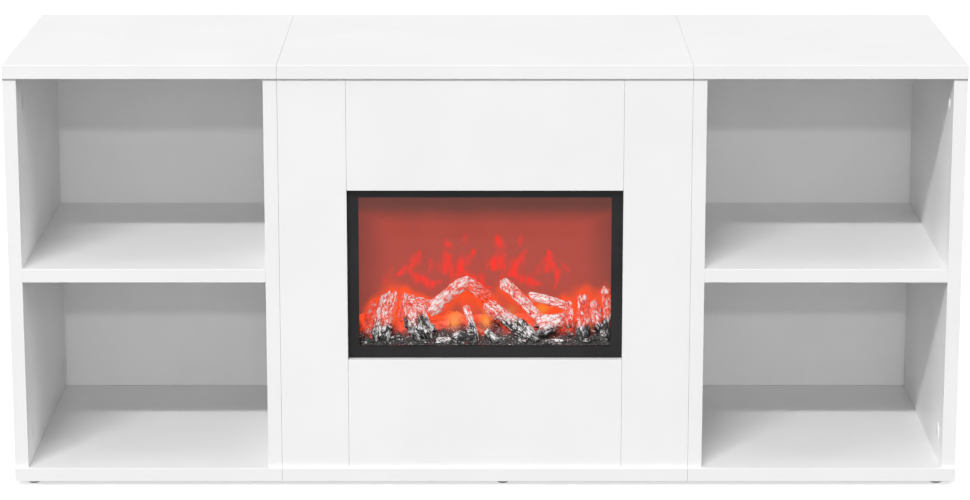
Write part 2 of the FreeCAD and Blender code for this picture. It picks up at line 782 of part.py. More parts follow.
def motor_and_bush():
    body = rod(on_axis(motor_root), on_axis(motor_face), motor_radius)
    boss = rod(on_axis(motor_face), on_axis(boss_end), motor_boss_radius)
    bore_root = boss_end - motor_shaft_grip - overrun
    bore = rod(on_axis(bore_root), on_axis(boss_end + overrun), motor_shaft_radius + running_play)
    add("gear_motor", body.fuse(boss).cut(bore))
    boss_hole = rod(on_axis(motor_root), on_axis(boss_end), motor_boss_radius + hole_play)
    plate_z = (inner_low, spindle_z + motor_plate_above)
    plate = footed_plate((motor_face, motor_plate_face), motor_plate_width, plate_z)
    add("spindle_plates", plate.cut(boss_hole))
    plate_z = (inner_low, spindle_z + bush_plate_above)
    plate = footed_plate((bush_plate_left, bush_plate_right), bush_plate_width, plate_z)
    bush_hole = rod(on_axis(spindle_left), on_axis(half_width), bush_radius + hole_play)
    add("spindle_plates", plate.cut(bush_hole))
    flange = rod(on_axis(bush_plate_left - bush_flange), on_axis(bush_plate_left), bush_flange_radius)
    sleeve = rod(on_axis(bush_plate_left), on_axis(bush_plate_right + bush_flange), bush_radius)
    bore = rod(on_axis(spindle_left), on_axis(half_width), spindle_radius + running_play)
    add("spindle_bush", flange.fuse(sleeve).cut(bore))


def footed_plate(x, width, z):
    y = (spindle_y - width / 2, spindle_y + width / 2)
    upright = block(x, y, z)
    foot_x = (x[1], x[1] + plate_foot)
    return upright.fuse(block(foot_x, y, (inner_low, inner_low + plate_thickness))).removeSplitter()


def light_boards():
    ember_half = bed_half * ember_board_length_share
    ember_y = bed_front + bed_depth * ember_board_place_share
    flame_x = (motor_plate_face + plate_foot + light_board_end_gap, bush_plate_left - light_board_end_gap)
    flame_y = spindle_y - light_board_depth / 2
    for x, y in (((-ember_half, ember_half), ember_y), (flame_x, flame_y)):
        board_top = inner_low + light_board_thickness
        add("light_boards", block(x, (y, y + light_board_depth), (inner_low, board_top)))
        pitch = (x[1] - x[0]) / chip_count
        chip_y = y + (light_board_depth - chip_size) / 2
        for number in range(chip_count):
            chip_x = x[0] + pitch * (number + 1 / 2) - chip_size / 2
            chip_z = (board_top, board_top + chip_height)
            add("light_chips", block((chip_x, chip_x + chip_size), (chip_y, chip_y + chip_size), chip_z))


# Planes of the control board
control_rear = casing_rear - standoff_length
control_front = control_rear - control_thickness
control_base = inner_low + control_low_share * (inner_high - inner_low)
control_left = control_left_share * inner_half
control_right = control_left + control_width
control_top = control_base + control_height


def board_studs():
    studs = []
    for x in (control_left + standoff_inset, control_right - standoff_inset):
        for z in (control_base + standoff_inset, control_top - standoff_inset):
            studs.append(rod(Vector(x, control_rear, z), Vector(x, casing_rear, z), standoff_radius))
    return studs


def control_board():
    board_z = (control_base, control_top)
    add("control_board", block((control_left, control_right), (control_front, control_rear), board_z))
    for (x_share, z_share, wide_share, high_share), depth in zip(control_block_shares, control_block_depths):
        x = control_left + x_share * control_width
        z = control_base + z_share * control_height
        wide, high = wide_share * control_width, high_share * control_height
        add("board_components", block((x, x + wide), (control_front - depth, control_front), (z, z + high)))
    for x_share, z_share in capacitor_shares:
        x = control_left + x_share * control_width
        root = Vector(x, control_front, control_base + z_share * control_height)
        add("board_components", rod(root, root - along_y * capacitor_length, capacitor_radius))


# Planes of the power switch and inlet
switch_place = switch_place_share * inner_half
inlet_place = inlet_place_share * inner_half
switch_z = inner_low + switch_height_share * (inner_high - inner_low)
switch_rear = cover_rear + switch_flange
switch_inner = casing_rear - switch_body_depth
pivot_y = switch_rear - pivot_depth
inlet_inner = cover_rear - inlet_body_length


def around(width, y, height, x_middle, z_middle):
    x = (x_middle - width / 2, x_middle + width / 2)
    return block(x, y, (z_middle - height / 2, z_middle + height / 2))


def power_switch():
    body_y = (switch_inner, cover_rear)
    body = around(switch_body_width, body_y, switch_body_height, switch_place, switch_z)
    flange_y = (cover_rear, switch_rear)
    flange = around(switch_flange_width, flange_y, switch_flange_height, switch_place, switch_z)
    pocket_y = (switch_rear - switch_pocket_depth, switch_rear + overrun)
    pocket = around(switch_pocket_width, pocket_y, switch_pocket_height, switch_place, switch_z)
    pivot = Vector(switch_place, pivot_y, switch_z)
    rocker_half = switch_pocket_width / 2 - rocker_side_play
    pin_reach = rocker_half + pivot_length
    hole_reach = along_x * (pin_reach + pivot_end_gap)
    pin_hole = rod(pivot - hole_reach, pivot + hole_reach, pivot_radius + running_play)
    add("switch_body", body.fuse(flange).removeSplitter().cut([pocket, pin_hole]))
    hole_y = (switch_inner, switch_rear)
    hole_wide, hole_high = switch_body_width + 2 * hole_play, switch_body_height + 2 * hole_play
    cut("insert_rear_cover", around(hole_wide, hole_y, hole_high, switch_place, switch_z))
    corners = [(-rocker_half_length, rocker_crest), (0, rocker_valley), (rocker_half_length, rocker_crest),
               (rocker_half_length, -rocker_heel), (rocker_keel, -rocker_keel), (-rocker_keel, -rocker_keel),
               (-rocker_half_length, -rocker_heel)]
    points = [pivot + Vector(-rocker_half, out, up) for up, out in corners]
    rocker = prism_along(points, along_x * (2 * rocker_half))
    rocker = rocker.fuse(rod(pivot - along_x * pin_reach, pivot + along_x * pin_reach, pivot_radius))
    rocker.rotate(pivot, along_x, -rocker_rest_angle)
    add("switch_rocker", rocker)


def power_inlet():
    mouth = Vector(inlet_place, cover_rear + inlet_flange, switch_z)
    seat = Vector(inlet_place, cover_rear, switch_z)
    root = Vector(inlet_place, inlet_inner, switch_z)
    socket_floor = mouth - along_y * inlet_socket_depth
    body = rod(root, seat, inlet_body_radius).fuse(rod(seat, mouth, inlet_flange_radius))
    socket = rod(socket_floor, mouth + along_y * overrun, inlet_socket_radius)
    pin_root = socket_floor - along_y * inlet_pin_root
    pin_hole = rod(pin_root - along_y * hole_end_play, mouth, inlet_pin_radius + hub_play)
    add("power_inlet", body.cut([socket, pin_hole]))
    add("inlet_fittings", rod(pin_root, socket_floor + along_y * inlet_pin_length, inlet_pin_radius))
    nut_front = Vector(inlet_place, casing_rear - inlet_nut_height, switch_z)
    nut_rear = Vector(inlet_place, casing_rear, switch_z)
    bore = rod(nut_front - along_y * overrun, nut_rear + along_y * overrun, inlet_body_radius + hub_play)
    add("inlet_fittings", rod(nut_front, nut_rear, inlet_nut_radius).cut(bore))
    cut("insert_rear_cover", rod(root, mouth, inlet_body_radius + hole_play))


def lead(points):
    run = rod(points[0], points[1], lead_radius)
    for start, end in zip(points[1:], points[2:]):
        run = run.fuse([Part.makeSphere(lead_radius, start), rod(start, end, lead_radius)])
    add("inner_leads", run)


def inner_leads():
    behind = switch_inner - lead_stand_off
    back = inlet_inner - lead_stand_off
    lead([Vector(inlet_place, inlet_inner, switch_z), Vector(inlet_place, back, switch_z),
          Vector(switch_place, behind, switch_z), Vector(switch_place, switch_inner, switch_z)])
    plug_z = control_base + control_height / 2
    plug_x = control_left + standoff_radius
    low = switch_z - lead_drop
    lead([Vector(switch_place, switch_inner, switch_z - lead_stand_off / 2),
          Vector(switch_place, behind, switch_z - lead_stand_off / 2), Vector(switch_place, behind, low),
          Vector(plug_x, behind, plug_z), Vector(plug_x, control_front, plug_z)])
    motor_top = Vector(motor_face - motor_length / 2, spindle_y, spindle_z + motor_radius)
    lead([motor_top, motor_top + along_z * lead_drop, Vector(plug_x, behind, plug_z - lead_stand_off),
          Vector(plug_x, control_front, plug_z - lead_stand_off)])


tops_and_floors()
for side, sign in (("left", -1), ("right", 1)):
    side_cabinet(side, sign)
    centre_cabinet(side, sign)
    cabinet_connectors(side, sign)
front_panels()
insert_shelf()
back_sheets()
glides()
bezel_and_glass()
casing()
insert_brackets()
ember_bed_and_logs()
screen_and_mask()
spindle()
motor_and_bush()
light_boards()
control_board()
power_switch()
power_inlet()
inner_leads()

os.makedirs("parts", exist_ok=True)
for node, solids in parts.items():
    if node in cuts:
        solids = [solid.cut(cuts[node]) for solid in solids]
    pieces = [piece for solid in solids for piece in solid.Solids]
    shape = pieces[0] if len(pieces) == 1 else Part.makeCompound(pieces)
    shape.exportStep("parts/" + node + ".step")
    print(node, len(pieces), round(shape.Volume, 1), shape.isValid())
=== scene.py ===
import math
import random

import bmesh
import bpy
import numpy
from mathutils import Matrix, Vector, noise


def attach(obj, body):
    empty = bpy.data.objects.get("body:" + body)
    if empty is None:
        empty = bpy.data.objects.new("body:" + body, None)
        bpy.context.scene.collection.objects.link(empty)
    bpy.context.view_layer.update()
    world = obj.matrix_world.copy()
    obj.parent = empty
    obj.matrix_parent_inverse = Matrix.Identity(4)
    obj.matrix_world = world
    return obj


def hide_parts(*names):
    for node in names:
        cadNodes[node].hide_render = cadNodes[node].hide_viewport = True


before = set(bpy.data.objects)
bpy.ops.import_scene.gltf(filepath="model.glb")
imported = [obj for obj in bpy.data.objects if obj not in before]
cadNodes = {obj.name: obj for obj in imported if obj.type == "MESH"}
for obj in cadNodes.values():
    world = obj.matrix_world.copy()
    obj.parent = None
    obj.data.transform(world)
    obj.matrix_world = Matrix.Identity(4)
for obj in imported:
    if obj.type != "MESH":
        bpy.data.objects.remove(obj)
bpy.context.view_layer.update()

scene = bpy.context.scene
toMetres = 0.001  # new pieces are drawn in mm
print("frame:", len(cadNodes), "nodes")

# Helpers for shader trees; in the looks below a noise is its scale, detail, roughness and distortion,
# a relief its strength and distance, and a span a low and a high value with what they become
noiseSpan = (0.3, 0.7)  # where most values of a noise lie
noiseMiddle = (0.5, 0.5, 0.5)
mixSockets = {"share": 0, "first": 6, "second": 7, "result": 2}  # the colour sockets of a Mix node


def addNode(tree, kind, inputs=None, **settings):
    made = tree.nodes.new(kind)
    for key, value in settings.items():
        setattr(made, key, value)
    for key, value in (inputs or {}).items():
        if isinstance(value, bpy.types.NodeSocket):
            tree.links.new(value, made.inputs[key])
        else:
            made.inputs[key].default_value = value
    return made


def sums(tree, operation, first, second=0.0, third=0.0):
    inputs = {0: first, 1: second, 2: third}
    return addNode(tree, "ShaderNodeMath", inputs, operation=operation).outputs[0]


def times(tree, first, second):
    return sums(tree, "MULTIPLY", first, second)


def timesPlus(tree, first, second, third):
    return sums(tree, "MULTIPLY_ADD", first, second, third)


def vectors(tree, operation, first, second):
    inputs = {0: first, "Scale" if operation == "SCALE" else 1: second}
    return addNode(tree, "ShaderNodeVectorMath", inputs, operation=operation).outputs[0]


def ranged(tree, value, low, high, toLow=0.0, toHigh=1.0, kind="SMOOTHSTEP"):
    inputs = {"Value": value, "From Min": low, "From Max": high, "To Min": toLow, "To Max": toHigh}
    return addNode(tree, "ShaderNodeMapRange", inputs, interpolation_type=kind, clamp=True).outputs[0]


def coloured(value):
    return value if isinstance(value, bpy.types.NodeSocket) else (*value, 1.0)


def mixed(tree, share, first, second):
    values = {"share": share, "first": coloured(first), "second": coloured(second)}
    inputs = {mixSockets[key]: value for key, value in values.items()}
    made = addNode(tree, "ShaderNodeMix", inputs, data_type="RGBA", clamp_factor=True)
    return made.outputs[mixSockets["result"]]


def noisy(tree, vector, scale, detail=2.0, rough=0.5, distort=0.0, output=0):
    inputs = {"Vector": vector, "Scale": scale, "Detail": detail, "Roughness": rough, "Distortion": distort}
    return addNode(tree, "ShaderNodeTexNoise", inputs).outputs[output]


def coordinates(tree):
    return addNode(tree, "ShaderNodeTexCoord").outputs


def attributeOf(tree, name, output="Vector"):
    return addNode(tree, "ShaderNodeAttribute", attribute_name=name).outputs[output]


def parted(tree, vector):
    return addNode(tree, "ShaderNodeSeparateXYZ", {0: vector}).outputs


def bumpy(tree, height, strength, distance):
    inputs = {"Height": height, "Strength": strength, "Distance": distance}
    return addNode(tree, "ShaderNodeBump", inputs).outputs[0]


def newMaterial(name, fixed=None):
    made = bpy.data.materials.new(name)
    made.use_nodes = True
    shader = made.node_tree.nodes["Principled BSDF"]
    for key, value in (fixed or {}).items():
        shader.inputs[key].default_value = value
    return made, made.node_tree, shader


def wire(tree, shader, sources):
    for key, source in sources.items():
        tree.links.new(source, shader.inputs[key])


# Colour from a coarse noise, roughness and bump from a fine one
def speckled(name, dark, pale, patch, fine, shine, relief, fixed=None):
    made, tree, shader = newMaterial(name, fixed)
    place = coordinates(tree)["Object"]
    cloud = noisy(tree, place, *patch)
    grain = noisy(tree, place, *fine)
    wire(tree, shader, {
        "Base Color": mixed(tree, ranged(tree, cloud, *noiseSpan), dark, pale),
        "Roughness": ranged(tree, grain, *noiseSpan, *shine),
        "Normal": bumpy(tree, grain, *relief),
    })
    return made


# Helpers for shapes
leastRun = 1e-6  # for a stroke without length


# Share from 0 to 1 of each point's nearness to a stroke that widens from first to last
def strokeShares(points, start, end, first, last):
    run = numpy.subtract(end, start)
    away = points - numpy.array(start)
    along = numpy.clip(away @ run / max(run @ run, leastRun), 0.0, 1.0)
    gap = numpy.linalg.norm(away - along[:, None] * run, axis=1)
    near = numpy.clip(1.0 - gap / (first + (last - first) * along), 0.0, 1.0)
    return near * near * (3.0 - 2.0 * near)  # smooth step


def joined(first, second):
    return 1.0 - (1.0 - first) * (1.0 - second)


def addSkirt(shape, axis, level):
    rim = [edge for edge in shape.edges if edge.is_boundary]
    skirt = bmesh.ops.extrude_edge_only(shape, edges=rim)["geom"]
    for vert in (part for part in skirt if isinstance(part, bmesh.types.BMVert)):
        setattr(vert.co, axis, level)


def inMetres(shape):
    bmesh.ops.scale(shape, vec=Vector((toMetres, toMetres, toMetres)), verts=shape.verts)
    return shape


def addPiece(name, shape, material, smooth=True):
    mesh = bpy.data.meshes.new(name)
    bmesh.ops.recalc_face_normals(shape, faces=shape.faces)
    shape.to_mesh(mesh)
    shape.free()
    for polygon in mesh.polygons:
        polygon.use_smooth = smooth
    mesh.materials.append(material)
    made = bpy.data.objects.new(name, mesh)
    scene.collection.objects.link(made)
    return made


# Plain finishes: dark and pale colour, scale of the patches, roughness, metal
plainLooks = {
    "zinc": ((0.46, 0.47, 0.49), (0.68, 0.69, 0.71), 420.0, (0.22, 0.44), 1.0),
    "black_steel": ((0.018, 0.018, 0.019), (0.036, 0.036, 0.038), 900.0, (0.5, 0.7), 0.0),
    "white_cap": ((0.77, 0.77, 0.77), (0.81, 0.81, 0.81), 300.0, (0.36, 0.5), 0.0),
    "glide_plastic": ((0.20, 0.20, 0.20), (0.30, 0.30, 0.30), 500.0, (0.45, 0.65), 0.0),
    "pad_rubber": ((0.03, 0.03, 0.03), (0.06, 0.06, 0.06), 700.0, (0.7, 0.9), 0.0),
    "bright_aluminium": ((0.78, 0.78, 0.79), (0.90, 0.90, 0.91), 160.0, (0.12, 0.26), 1.0),
    "shaft_steel": ((0.50, 0.50, 0.52), (0.66, 0.66, 0.68), 900.0, (0.2, 0.36), 1.0),
    "motor_can": ((0.44, 0.45, 0.47), (0.60, 0.61, 0.63), 240.0, (0.3, 0.5), 1.0),
    "bush_plastic": ((0.70, 0.68, 0.62), (0.80, 0.78, 0.72), 400.0, (0.4, 0.6), 0.0),
    "circuit_board": ((0.008, 0.075, 0.03), (0.02, 0.15, 0.06), 260.0, (0.25, 0.45), 0.0),
    "light_chip": ((0.75, 0.48, 0.16), (0.95, 0.70, 0.35), 800.0, (0.2, 0.35), 0.0),
    "component_plastic": ((0.06, 0.06, 0.062), (0.10, 0.10, 0.103), 800.0, (0.35, 0.55), 0.0),
    "contact_brass": ((0.60, 0.43, 0.16), (0.80, 0.62, 0.30), 600.0, (0.2, 0.4), 1.0),
    "lead_plastic": ((0.30, 0.012, 0.012), (0.45, 0.03, 0.03), 300.0, (0.35, 0.5), 0.0),
}
plainGrain = {"patchDetail": 3.0, "finer": 3.0, "fineDetail": 2.0, "relief": (0.12, 0.0002)}


def plainMaterial(name):
    dark, pale, scale, shine, metal = plainLooks[name]
    patch = (scale, plainGrain["patchDetail"])
    fine = (scale * plainGrain["finer"], plainGrain["fineDetail"])
    return speckled(name, dark, pale, patch, fine, shine, plainGrain["relief"], {"Metallic": metal})


finishes = {name: plainMaterial(name) for name in plainLooks}
print("plain finishes:", len(finishes))

# White faced board
boardLook = {
    "dark": (0.865, 0.865, 0.865), "pale": (0.89, 0.89, 0.89), "shine": (0.36, 0.5),
    "patch": (9.0, 4.0), "fine": (1500.0, 2.0), "relief": (0.06, 0.0001),
}
finishes["white_board"] = speckled("white_board", **boardLook)

# Bezel: black moulding with a fine spark texture
bezelLook = {
    "dark": (0.011, 0.011, 0.012), "pale": (0.017, 0.017, 0.018), "shine": (0.42, 0.56),
    "patch": (22.0, 3.0), "fine": (1300.0, 3.0, 0.6), "relief": (0.2, 0.0002),
    "fixed": {"Specular IOR Level": 0.16},
}
finishes["bezel_plastic"] = speckled("bezel_plastic", **bezelLook)

# Back sheets: lacquered white inside, bare fibreboard behind
sheetLook = {
    "inside": (0.885, 0.885, 0.885), "insidePale": (0.905, 0.905, 0.905),
    "bare": (0.30, 0.19, 0.11), "barePale": (0.42, 0.28, 0.17), "bareSpan": (0.38, 0.62),
    "cloud": (14.0, 4.0, 0.6), "cloudShare": 0.3,
    "fibre": (620.0, 3.0, 0.7), "fibreStretch": (1.0, 1.0, 0.35), "fibreShare": 0.3,
    "chips": (95.0, 5.0, 0.75), "chipStretch": (1.0, 1.0, 0.6), "chipShare": 0.4,
    "shine": (0.5, 0.72), "relief": (0.08, 0.0002), "behindSpan": (0.3, 0.6),
}


def sheetMaterial():
    look = sheetLook
    made, tree, shader = newMaterial("back_sheet")
    coords = coordinates(tree)
    place = coords["Object"]
    facing = parted(tree, coords["Normal"])["Y"]
    cloud = noisy(tree, place, *look["cloud"])
    fibre = noisy(tree, vectors(tree, "MULTIPLY", place, look["fibreStretch"]), *look["fibre"])
    chips = noisy(tree, vectors(tree, "MULTIPLY", place, look["chipStretch"]), *look["chips"])
    mottle = timesPlus(tree, cloud, look["cloudShare"], times(tree, chips, look["chipShare"]))
    mottle = timesPlus(tree, fibre, look["fibreShare"], mottle)
    white = mixed(tree, ranged(tree, cloud, *noiseSpan), look["inside"], look["insidePale"])
    bare = mixed(tree, ranged(tree, mottle, *look["bareSpan"]), look["bare"], look["barePale"])
    wire(tree, shader, {
        "Base Color": mixed(tree, ranged(tree, facing, *look["behindSpan"]), white, bare),
        "Roughness": ranged(tree, fibre, *noiseSpan, *look["shine"]),
        "Normal": bumpy(tree, fibre, *look["relief"]),
    })
    return made


finishes["back_sheet"] = sheetMaterial()

# Bare beech of the dowels
beechLook = {
    "dark": (0.40, 0.25, 0.13), "pale": (0.60, 0.42, 0.25), "span": (0.35, 0.65), "shine": (0.5, 0.7),
    "grain": (900.0, 3.0, 0.6), "stretch": (0.3, 1.0, 1.0),
}


def beechMaterial():
    look = beechLook
    made, tree, shader = newMaterial("beech")
    place = vectors(tree, "MULTIPLY", coordinates(tree)["Object"], look["stretch"])
    grain = noisy(tree, place, *look["grain"])
    wire(tree, shader, {
        "Base Color": mixed(tree, ranged(tree, grain, *look["span"]), look["dark"], look["pale"]),
        "Roughness": ranged(tree, grain, *noiseSpan, *look["shine"]),
    })
    return made


finishes["beech"] = beechMaterial()

# Lightly smoked glass in front of the fire, faintly smeared
glassLook = {
    "dark": (0.008, 0.008, 0.009), "pale": (0.016, 0.016, 0.017), "shine": (0.03, 0.09),
    "smear": (16.0, 4.0, 0.6), "stretch": (1.0, 1.0, 2.2), "shineSpan": (0.35, 0.65),
    "fixed": {"Alpha": 0.03, "Specular IOR Level": 0.05},
}


def glassMaterial():
    look = glassLook
    made, tree, shader = newMaterial("glass", look["fixed"])
    place = vectors(tree, "MULTIPLY", coordinates(tree)["Object"], look["stretch"])
    smear = noisy(tree, place, *look["smear"])
    wire(tree, shader, {
        "Base Color": mixed(tree, ranged(tree, smear, *noiseSpan), look["dark"], look["pale"]),
        "Roughness": ranged(tree, smear, *look["shineSpan"], *look["shine"]),
    })
    return made


finishes["glass"] = glassMaterial()

for node in cadNodes.values():
    slotName = node.data.materials[0].name.split(".")[0]
    if slotName in finishes:
        node.data.materials[0] = finishes[slotName]
print("materials placed on", len(cadNodes), "nodes")

# Logs: foot, head (mm), both radii, ash and heat from 0 to 1
logRows = [
    (-139, -129, 172, -129, -119, 207, 7.5, 6.5, 0.42, 0.80),
    (-123, -143, 168, -110, -131, 219, 10.5, 9.0, 0.62, 0.62),
    (-97, -135, 190, -95, -127, 219, 6.0, 5.4, 0.56, 0.75),
    (-71, -138, 170, -84, -131, 203, 15.5, 13.0, 0.64, 0.42),
    (-92, -124, 213, -61, -121, 202, 6.2, 6.8, 0.60, 0.85),
    (-65, -124, 197, -21, -118, 233, 8.0, 7.5, 0.74, 0.85),
    (-22, -118, 230, 4, -114, 212, 7.5, 8.0, 0.52, 0.85),
    (-23, -134, 206, -10, -150, 167, 4.5, 4.0, 0.66, 0.50),
    (-36, -147, 171, -13, -148, 174, 7.5, 6.5, 0.62, 0.12),
    (-56, -151, 168, -40, -151, 168, 4.6, 4.2, 0.80, 0.05),
    (1, -146, 179, 16, -152, 167, 4.0, 3.4, 0.74, 0.20),
    (4, -128, 206, 58, -145, 168, 9.0, 8.5, 0.66, 0.45),
    (22, -114, 231, 68, -126, 185, 7.2, 6.6, 0.72, 0.70),
    (53, -117, 214, 93, -131, 206, 5.0, 5.6, 0.80, 0.85),
    (62, -140, 183, 92, -136, 190, 11.5, 10.0, 0.66, 0.62),
    (100, -134, 180, 97, -128, 209, 6.0, 5.2, 0.58, 0.70),
    (115, -143, 168, 114, -132, 217, 8.5, 7.2, 0.56, 0.72),
    (137, -138, 178, 127, -130, 211, 7.6, 6.4, 0.60, 0.60),
    (142, -125, 183, 141, -120, 224, 6.2, 5.4, 0.62, 0.45),
    (141, -145, 168, 141, -136, 190, 6.4, 5.8, 0.55, 0.35),
    (79, -152, 168, 91, -152, 167, 3.8, 3.4, 0.86, 0.02),
]
logShape = {
    "sides": 40, "cuts": 38, "insets": (0.22, 0.3, 0.3), "front": -157.5, "apart": 137.0,
    "bark": 0.30, "barkPitch": 0.12, "barkStretch": 0.3, "chip": 0.24, "chipPitch": 0.42, "chipStretch": 0.4,
    "bend": 0.20, "taper": 0.30, "ragged": 0.75, "raggedPitch": 0.22, "tipStart": 0.72, "tipSpan": 0.28,
}


def growLog(pile, row, number):
    look = logShape
    foot, head = Vector(row[0:3]), Vector(row[3:6])
    footRadius, headRadius, ash, heat = row[6:]
    axis = head - foot
    length = axis.length
    grown = bmesh.new()
    bmesh.ops.create_cone(
        grown, cap_ends=True, segments=look["sides"], radius1=footRadius, radius2=headRadius, depth=length)
    rails = [edge for edge in grown.edges if abs(edge.verts[0].co.z - edge.verts[1].co.z) > length / 2]
    bmesh.ops.subdivide_edges(grown, edges=rails, cuts=look["cuts"], use_grid_fill=True)
    for step in look["insets"]:
        ends = [face for face in grown.faces if len(face.verts) == look["sides"]]
        bmesh.ops.inset_individual(grown, faces=ends, thickness=footRadius * step, depth=0.0)
    grain = grown.verts.layers.float_vector.new("grain")
    tone = grown.verts.layers.float_vector.new("tone")
    turn = axis.to_track_quat("Z", "Y")
    shift = Vector((0.0, 0.0, look["apart"] * number))
    side = 1 if number % 2 else -1
    for vert in grown.verts:
        own = vert.co.copy()
        along = own.z / length + 0.5
        coarse = noise.noise(Vector((own.x, own.y, own.z * look["barkStretch"])) * look["barkPitch"] + shift)
        fine = noise.noise(Vector((own.x, own.y, own.z * look["chipStretch"])) * look["chipPitch"] + shift)
        tip = max(0.0, abs(along - 0.5) * 2 - look["tipStart"]) / look["tipSpan"]
        swell = 1.0 + look["bark"] * coarse + look["chip"] * fine - look["taper"] * tip * tip
        lean = look["bend"] * footRadius * math.sin(math.pi * along) * side
        torn = look["ragged"] * footRadius * tip * noise.noise(own * look["raggedPitch"] + shift)
        placed = Vector((own.x * swell + lean, own.y * swell, own.z + torn))
        vert[grain] = own + shift
        vert.co = (foot + head) / 2 + turn @ placed
        vert.co.y = max(look["front"], vert.co.y)
        vert[tone] = Vector((ash, heat, vert.co.z))
        vert.co *= toMetres
    loose = bpy.data.meshes.new("log")
    grown.to_mesh(loose)
    grown.free()
    pile.from_mesh(loose)
    bpy.data.meshes.remove(loose)


# Painted resin of the logs: char, glow and pale ash along the grain
logLook = {
    "char": (0.022, 0.021, 0.021), "charPale": (0.055, 0.052, 0.052), "soot": (0.5, 3.0),
    "ash": (0.90, 0.87, 0.87), "ashDim": (0.66, 0.61, 0.61), "ashSpan": (0.3, 0.6), "ashShare": 0.42,
    "hot": (1.0, 0.085, 0.025), "dull": (0.62, 0.020, 0.010), "dullSpan": (0.42, 0.62),
    "glow": 1.0, "cover": 0.86, "shine": (0.7, 0.95), "relief": (0.5, 0.0012),
    "stretch": (1.0, 1.0, 0.45), "flakes": (0.25, 6.0, 0.72, 0.9), "flakeSpan": (-0.012, 0.02),
    "wave": (0.22, 3.0), "waveReach": 9.0, "plates": 0.19, "plateSpan": (0.02, 0.10),
    "blotch": (0.055, 2.0), "blotchShare": 0.34, "blotchMiddle": 0.17, "upShare": 0.06, "bareLevel": 0.765,
    "rise": (169.0, 203.0, -0.6, 0.25), "heatShare": 0.8, "warmBlotch": 0.9, "coolest": -0.55,
    "hotSpan": (0.10, 0.42),
}


def logMaterial():
    look = logLook
    made, tree, shader = newMaterial("log_resin")
    grain = attributeOf(tree, "grain")
    ash, heat, height = parted(tree, attributeOf(tree, "tone"))
    fibre = vectors(tree, "MULTIPLY", grain, look["stretch"])
    flakes = noisy(tree, fibre, *look["flakes"])
    soot = noisy(tree, fibre, *look["soot"])
    blotch = noisy(tree, grain, *look["blotch"])

    # Cracks between wavy plates of bark
    wave = vectors(tree, "SUBTRACT", noisy(tree, fibre, *look["wave"], output="Color"), noiseMiddle)
    bent = vectors(tree, "ADD", fibre, vectors(tree, "SCALE", wave, look["waveReach"]))
    inputs = {"Vector": bent, "Scale": look["plates"]}
    plates = addNode(tree, "ShaderNodeTexVoronoi", inputs, feature="DISTANCE_TO_EDGE").outputs["Distance"]

    # Ash lies on the plates, more where they face up
    level = sums(tree, "SUBTRACT", look["bareLevel"], times(tree, ash, look["ashShare"]))
    raised = sums(tree, "SUBTRACT", flakes, look["blotchMiddle"])
    lifted = timesPlus(tree, blotch, look["blotchShare"], raised)
    scored = timesPlus(tree, parted(tree, coordinates(tree)["Normal"])["Z"], look["upShare"], lifted)
    patchy = ranged(tree, sums(tree, "SUBTRACT", scored, level), *look["flakeSpan"])
    flake = times(tree, patchy, ranged(tree, plates, *look["plateSpan"]))
    pale = mixed(tree, ranged(tree, soot, *look["ashSpan"]), look["ashDim"], look["ash"])
    bark = mixed(tree, soot, look["char"], look["charPale"])

    # Glow in the bare places, more towards the top
    rise = ranged(tree, height, *look["rise"], "LINEAR")
    mottle = timesPlus(tree, blotch, look["warmBlotch"], look["coolest"])
    warmth = sums(tree, "ADD", timesPlus(tree, heat, look["heatShare"], rise), mottle)
    bare = sums(tree, "SUBTRACT", 1.0, times(tree, flake, look["cover"]))
    lit = times(tree, ranged(tree, warmth, *look["hotSpan"]), bare)
    wire(tree, shader, {
        "Base Color": mixed(tree, flake, bark, pale),
        "Roughness": ranged(tree, soot, *noiseSpan, *look["shine"]),
        "Emission Color": mixed(tree, ranged(tree, soot, *look["dullSpan"]), look["hot"], look["dull"]),
        "Emission Strength": times(tree, lit, look["glow"]),
        "Normal": bumpy(tree, sums(tree, "ADD", flakes, flake), *look["relief"]),
    })
    return made


logPile = bmesh.new()
for number, row in enumerate(logRows):
    growLog(logPile, row, number)
fireLogs = addPiece("fireLogs", logPile, logMaterial())
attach(fireLogs, "cabinet")
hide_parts("log_set")
print("logs:", len(logRows), "with", len(fireLogs.data.polygons), "faces")

# Ember bed: lumpy cast bed with loose coals
hotSpots = [  # x, z and reach in mm
    (-36, 184, 14), (1, 184, 12), (68, 194, 13), (120, 181, 11), (-112, 186, 9), (30, 190, 10),
]
bedShape = {
    "half": 150.2, "front": -158.0, "rear": -102.0, "floor": 161.0, "columns": 200, "rows": 44,
    "steps": [(0.0, 165.3), (0.28, 168.5), (0.55, 177.0), (0.8, 185.1), (1.0, 187.8)],  # depth share, height
    "lump": 3.6, "lumpPitch": 0.10, "lumpStretch": 1.3, "ripple": 1.2, "ripplePitch": 0.3, "rippleLayer": 3.0,
    "roll": 7.0, "rollPitch": (0.04, 0.02), "rollLayer": 9.0, "edgeStart": 0.1, "edgeRise": 8.0, "sink": 1.0,
    "ash": 0.30, "heat": 0.35, "heatRise": 0.75,
    "coals": 110, "seed": 7, "coalDepth": (0.06, 0.9), "coalSize": (2.0, 4.6), "coalAcross": (-145.0, 145.0),
    "coalLift": 0.5, "coalAsh": (0.2, 0.75), "coalHeat": (-0.2, 0.4), "coalLong": 1.3, "coalLow": 0.75,
    "knock": 0.45, "knockPitch": 0.35, "knockStep": 3.1, "grainStep": 41.0, "clear": 0.3,
}
bedDepth = bedShape["rear"] - bedShape["front"]


def spotShares(points):
    total = numpy.zeros(len(points))
    for x, z, reach in hotSpots:
        total = joined(total, strokeShares(numpy.array(points), (x, z), (x, z), reach, reach))
    return total


def bedHeight(share):
    for (low, start), (high, end) in zip(bedShape["steps"], bedShape["steps"][1:]):
        if share <= high:
            return start + (end - start) * (share - low) / (high - low)
    return bedShape["steps"][-1][1]


